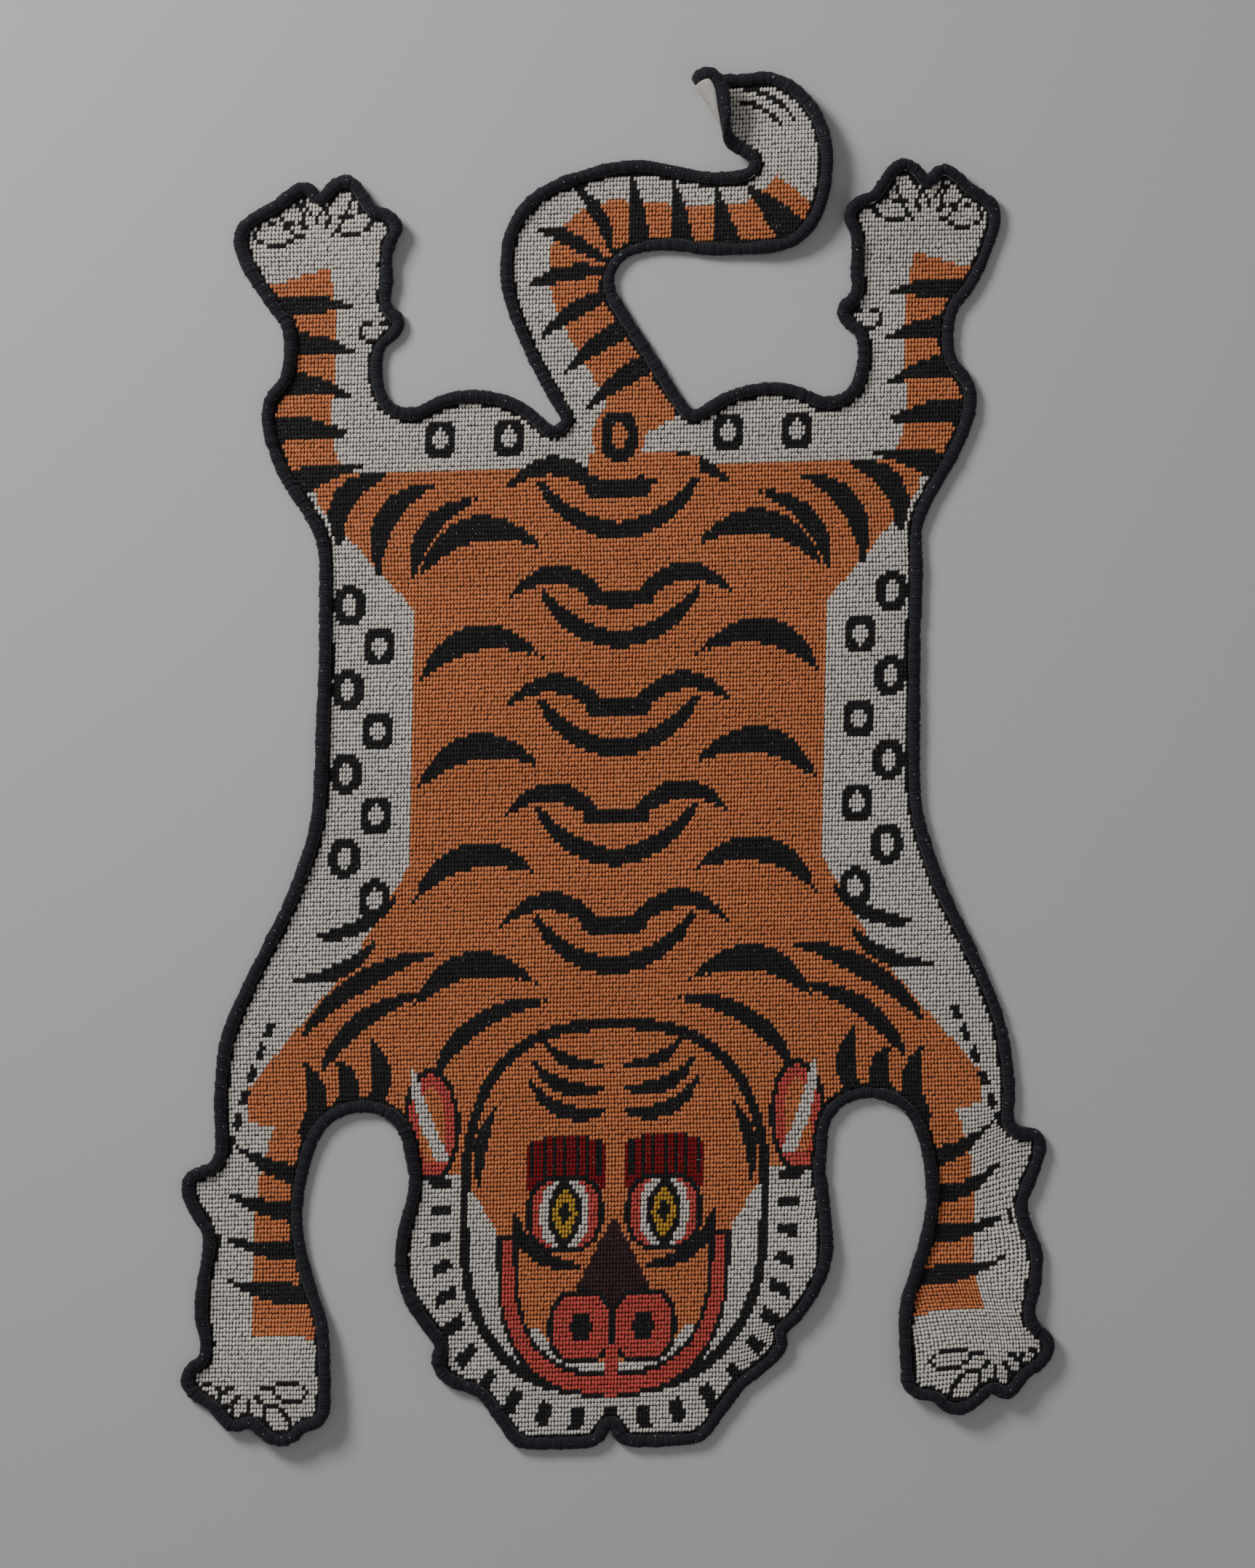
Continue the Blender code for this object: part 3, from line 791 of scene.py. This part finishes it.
def hairs(name, starts, directions, lengths, bends, thickness):
    """Fine curved fibres as three-sided tubes of three pieces each, tapering to their tips."""
    share = np.array([0.0, 0.35, 0.7, 1.0])
    count = len(starts)
    directions = directions / np.linalg.norm(directions, axis=1)[:, None]
    centre = (starts[:, None] + directions[:, None] * (lengths[:, None] * share)[..., None]
              + bends[:, None] * (lengths[:, None] * share**2)[..., None])
    side = np.cross(directions, [0.0, 0.0, 1.0])
    side /= np.maximum(np.linalg.norm(side, axis=1), 1e-6)[:, None]
    up = np.cross(side, directions)
    turn = np.arange(3) / 3 * 2 * np.pi
    ring = side[:, None] * np.cos(turn)[None, :, None] + up[:, None] * np.sin(turn)[None, :, None]
    size = thickness * (1 - 0.75 * share)
    points = centre[:, :, None] + ring[:, None] * size[None, :, None, None]
    low, corner = np.meshgrid(np.arange(3), np.arange(3), indexing="ij")
    following = (corner + 1) % 3
    faces = np.stack([low * 3 + corner, low * 3 + following, low * 3 + 3 + following,
                      low * 3 + 3 + corner], axis=-1).reshape(-1, 4)
    indices = (faces[None] + 12 * np.arange(count)[:, None, None]).reshape(-1, 4)
    return make_object(name, points.reshape(-1, 3), indices)


def make_fuzz(path, outward, chance):
    """Stray fibres that stand out from the edge cord."""
    picked = chance.integers(0, len(path), FUZZ_COUNT)
    angle = chance.uniform(-0.15, 2.2, FUZZ_COUNT)
    reach = CORD_RADIUS * 0.95
    x = path[picked, 0] + outward[picked, 0] * reach * np.cos(angle)
    y = path[picked, 1] + outward[picked, 1] * reach * np.cos(angle)
    w = BINDING_RADIUS + reach * np.sin(angle)
    starts = in_row(raised(x, y, w))
    out = outward[picked] * np.cos(angle)[:, None] + 0.7 * chance.normal(size=(FUZZ_COUNT, 2))
    rise = 0.6 * np.sin(angle) + 0.2 * chance.normal(size=FUZZ_COUNT)
    directions = np.column_stack([out, np.maximum(rise, 0.02)])
    lengths = chance.gamma(3.0, 0.0010, FUZZ_COUNT)
    bends = 0.5 * chance.normal(size=(FUZZ_COUNT, 3)) * [1, 1, 0.2]
    bends[:, 2] = np.maximum(bends[:, 2], -directions[:, 2] * 0.5)
    return hairs("edge_fuzz", starts, directions, lengths, bends, 0.00011)


def make_lint(u, v, chance):
    """A few pale fibres lying on the stitches."""
    picked = chance.integers(0, len(u), LINT_COUNT)
    x, y = pull(u[picked] * MM, v[picked] * MM).T
    starts = in_row(raised(x, y, np.full(LINT_COUNT, STITCH_TOP + 0.0003)))
    heading = chance.uniform(0, 2 * np.pi, LINT_COUNT)
    directions = np.column_stack([np.cos(heading), np.sin(heading), np.full(LINT_COUNT, 0.02)])
    bends = np.column_stack([0.6 * chance.normal(size=(LINT_COUNT, 2)), np.zeros(LINT_COUNT)])
    lengths = chance.gamma(3.0, 0.0016, LINT_COUNT)
    return hairs("lint", starts, directions, lengths, bends, 0.00010)


FLOOR_SIZE = 14.0
FLOOR_HEIGHT = -0.0003
FLOOR_COLOUR = (0.60, 0.592, 0.585, 1.0)

# Look of each yarn: colour with painted shade in its grooves, colour with painted highlight on its crowns,
# both as linear values
YARN_LOOKS = {
    "cream": ((0.38, 0.32, 0.27), (0.88, 0.82, 0.75)),
    "orange": ((0.32, 0.070, 0.022), (0.82, 0.270, 0.100)),
    "black": ((0.006, 0.006, 0.007), (0.020, 0.019, 0.021)),
    "coral": ((0.30, 0.030, 0.022), (0.76, 0.110, 0.088)),
    "red": ((0.075, 0.0015, 0.002), (0.300, 0.006, 0.011)),
    "mustard": ((0.28, 0.12, 0.010), (0.70, 0.40, 0.040)),
    "brown": ((0.020, 0.008, 0.008), (0.065, 0.026, 0.030)),
}


def node(tree, kind, **settings):
    made = tree.nodes.new(kind)
    for name, value in settings.items():
        setattr(made, name, value)
    return made


def attribute(tree, name):
    return node(tree, "ShaderNodeAttribute", attribute_name=name).outputs["Fac"]


def blend(tree, share, first, second, kind="MIX"):
    """Mix of two colours; each may be a socket or plain values."""
    mix = node(tree, "ShaderNodeMix", data_type="RGBA", blend_type=kind)
    for socket, value in ((mix.inputs[0], share), (mix.inputs[6], first), (mix.inputs[7], second)):
        if isinstance(value, bpy.types.NodeSocket):
            tree.links.new(value, socket)
        elif isinstance(value, tuple):
            socket.default_value = (*value, 1.0)
        else:
            socket.default_value = value
    return mix.outputs[2]


def remap(tree, value, low, high, to_low, to_high):
    made = node(tree, "ShaderNodeMapRange")
    tree.links.new(value, made.inputs[0])
    for index, number in enumerate((low, high, to_low, to_high)):
        made.inputs[index + 1].default_value = number
    return made.outputs[0]


def brightened(tree, colour, *shares):
    """The colour with its brightness multiplied by each share."""
    for share in shares:
        bright = node(tree, "ShaderNodeHueSaturation")
        tree.links.new(colour, bright.inputs["Color"])
        tree.links.new(share, bright.inputs["Value"])
        colour = bright.outputs["Color"]
    return colour


def noise(tree, scale, detail, vector=None, stretch=None):
    made = node(tree, "ShaderNodeTexNoise")
    made.inputs["Scale"].default_value = scale
    made.inputs["Detail"].default_value = detail
    if vector is None:
        vector = node(tree, "ShaderNodeTexCoord").outputs["Object"]
    if stretch is not None:
        mapping = node(tree, "ShaderNodeMapping")
        mapping.inputs["Scale"].default_value = stretch
        tree.links.new(vector, mapping.inputs["Vector"])
        vector = mapping.outputs["Vector"]
    tree.links.new(vector, made.inputs["Vector"])
    return made.outputs["Fac"]


def new_material(name, roughness, sheen):
    material = bpy.data.materials.new(name)
    material.use_nodes = True
    shader = material.node_tree.nodes["Principled BSDF"]
    shader.inputs["Roughness"].default_value = roughness
    shader.inputs["Specular IOR Level"].default_value = 0.25
    shader.inputs["Sheen Weight"].default_value = sheen
    shader.inputs["Sheen Roughness"].default_value = 0.45
    return material, material.node_tree, shader


def bumped(tree, shader, height, strength, distance):
    bump = node(tree, "ShaderNodeBump")
    bump.inputs["Strength"].default_value = strength
    bump.inputs["Distance"].default_value = distance
    tree.links.new(height, bump.inputs["Height"])
    tree.links.new(bump.outputs["Normal"], shader.inputs["Normal"])


def yarn_material(label):
    """Wool yarn: painted shade in the grooves, painted highlight on the crowns; uneven from stitch to
    stitch and from row to row.
    """
    name = f"yarn_{label}"
    if name in bpy.data.materials:
        return bpy.data.materials[name]
    shaded_groove, lit_crown = YARN_LOOKS[label]
    material, tree, shader = new_material(name, 0.86, 0.12)
    # Painted shade and highlight: the yarn darkens towards the foot of each stitch and lightens on its
    # ridge
    groove_shade_share = remap(tree, attribute(tree, "rise"), 0.0, 0.62, 0.0, 1.0)
    colour = blend(tree, groove_shade_share, shaded_groove, lit_crown)
    chance = node(tree, "ShaderNodeNewGeometry").outputs["Random Per Island"]
    each = remap(tree, chance, 0.0, 1.0, 0.91, 1.09)
    rows = remap(tree, noise(tree, 1.0, 1.0, stretch=(3.0, 90.0, 1.0)), 0.3, 0.7, 0.94, 1.06)
    areas = remap(tree, noise(tree, 5.0, 2.0), 0.3, 0.7, 0.95, 1.05)
    strands = noise(tree, 900.0, 2.0, stretch=(1.0, 0.35, 1.0))
    fibres = remap(tree, strands, 0.3, 0.7, 0.88, 1.10)
    tree.links.new(brightened(tree, colour, each, rows, areas, fibres), shader.inputs["Base Color"])
    bumped(tree, shader, strands, 0.55, 0.0006)
    return material


def canvas_material():
    """Ground cloth: pale underneath; its top painted dark as shade between the stitches, with a few pale
    dots.
    """
    material, tree, shader = new_material("ground_canvas", 0.9, 0.05)
    weave = noise(tree, 420.0, 1.0)
    pale = blend(tree, weave, (0.40, 0.37, 0.33), (0.64, 0.61, 0.56))
    dots = remap(tree, weave, 0.66, 0.72, 0.0, 0.8)
    # Painted shade: the top of the cloth is dark, as the shade between the stitches, with pale dots of
    # cloth
    above = blend(tree, dots, (0.030, 0.022, 0.018), pale)
    colour = blend(tree, attribute(tree, "under"), above, pale)
    tree.links.new(colour, shader.inputs["Base Color"])
    bumped(tree, shader, weave, 0.5, 0.0006)
    return material


def cord_material():
    """Blue-black wound yarn, with painted shade between the wraps and a few pale specks."""
    material, tree, shader = new_material("yarn_binding", 0.82, 0.16)
    # Painted shade: darker where the wraps sink, lighter on their swells
    groove_shade_share = remap(tree, attribute(tree, "rise"), 0.15, 0.85, 0.0, 1.0)
    colour = blend(tree, groove_shade_share, (0.0045, 0.0045, 0.006), (0.017, 0.0175, 0.024))
    each = remap(tree, attribute(tree, "wrap"), 0.0, 1.0, 0.72, 1.32)
    strands = noise(tree, 700.0, 2.0)
    fibres = remap(tree, strands, 0.3, 0.7, 0.75, 1.25)
    colour = brightened(tree, colour, each, fibres)
    specks = remap(tree, noise(tree, 420.0, 0.0), 0.80, 0.84, 0.0, 0.8)
    colour = blend(tree, specks, colour, (0.42, 0.41, 0.40))
    tree.links.new(colour, shader.inputs["Base Color"])
    bumped(tree, shader, strands, 0.6, 0.0007)
    return material


def plain_material(name, colour):
    material, tree, shader = new_material(name, 0.85, 0.1)
    tone = noise(tree, 60.0, 1.0)
    darker = tuple(0.7 * value for value in colour)
    tree.links.new(blend(tree, tone, darker, colour), shader.inputs["Base Color"])
    return material


def make_floor():
    """Plain pale floor, just under the rug."""
    bpy.ops.mesh.primitive_plane_add(size=FLOOR_SIZE, location=(0, 0, FLOOR_HEIGHT))
    floor = bpy.context.object
    floor.name = "floor"
    material = bpy.data.materials.new("floor_pale")
    material.use_nodes = True
    shader = material.node_tree.nodes["Principled BSDF"]
    shader.inputs["Base Color"].default_value = FLOOR_COLOUR
    shader.inputs["Roughness"].default_value = 0.75
    floor.data.materials.append(material)


CAMERA_PLACE = (-0.0002, -0.0254)
CAMERA_HEIGHT = 4.0
CAMERA_TURN = 1.15
VIEW_WIDTH = 1.3634
SENSOR_WIDTH = 36.0

# Soft lights: place, size, power; each one points at the middle of the rug
LIGHTS = [
    ((-2.6, 2.4, 2.4), 1.3, 125.0),
    ((2.2, -1.8, 3.0), 3.0, 9.0),
    ((0.0, 0.0, 4.6), 3.4, 12.0),
]
WORLD_COLOUR = (0.55, 0.57, 0.60, 1.0)
WORLD_STRENGTH = 0.28


def make_lights():
    for number, (place, size, power) in enumerate(LIGHTS):
        light = bpy.data.lights.new(f"soft_{number}", "AREA")
        light.shape = "SQUARE"
        light.size = size
        light.energy = power
        lamp = bpy.data.objects.new(light.name, light)
        lamp.location = place
        lamp.rotation_euler = (-Vector(place)).to_track_quat("-Z", "Y").to_euler()
        bpy.context.scene.collection.objects.link(lamp)
    world = bpy.data.worlds.new("soft_world")
    world.use_nodes = True
    background = world.node_tree.nodes["Background"]
    background.inputs["Color"].default_value = WORLD_COLOUR
    background.inputs["Strength"].default_value = WORLD_STRENGTH
    bpy.context.scene.world = world


def make_camera():
    data = bpy.data.cameras.new("camera")
    data.sensor_fit = "HORIZONTAL"
    data.sensor_width = SENSOR_WIDTH
    data.lens = SENSOR_WIDTH * (CAMERA_HEIGHT - STITCH_TOP) / VIEW_WIDTH
    camera = bpy.data.objects.new("camera", data)
    camera.location = (*CAMERA_PLACE, CAMERA_HEIGHT)
    camera.rotation_euler = (0.0, 0.0, math.radians(CAMERA_TURN))
    bpy.context.scene.collection.objects.link(camera)
    bpy.context.scene.camera = camera


def build():
    chance = np.random.default_rng(SEED)
    outer = outer_edge()
    middle = inset(outer, BINDING_RADIUS)
    edge = inset(middle, BINDING_RADIUS + SEAM_GAP)
    canvas = make_canvas(edge)
    canvas.data.materials.append(canvas_material())
    sewn = make_stitches(edge, chance)
    cord, path, outward = make_cord(middle, chance)
    cord.data.materials.append(cord_material())
    fuzz = make_fuzz(path, outward, chance)
    fuzz.data.materials.append(plain_material("fibre_dark", (0.012, 0.012, 0.016)))
    u, v, _ = stitch_places(edge)
    lint = make_lint(u, v, chance)
    lint.data.materials.append(plain_material("fibre_pale", (0.62, 0.60, 0.57)))
    for piece in [canvas, *sewn, lint]:
        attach(piece, "root")
    for piece in [cord, fuzz]:
        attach(piece, "root")
    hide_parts("rug_field")
    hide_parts(*BINDING_NODES)


make_camera()
make_lights()
make_floor()
build()
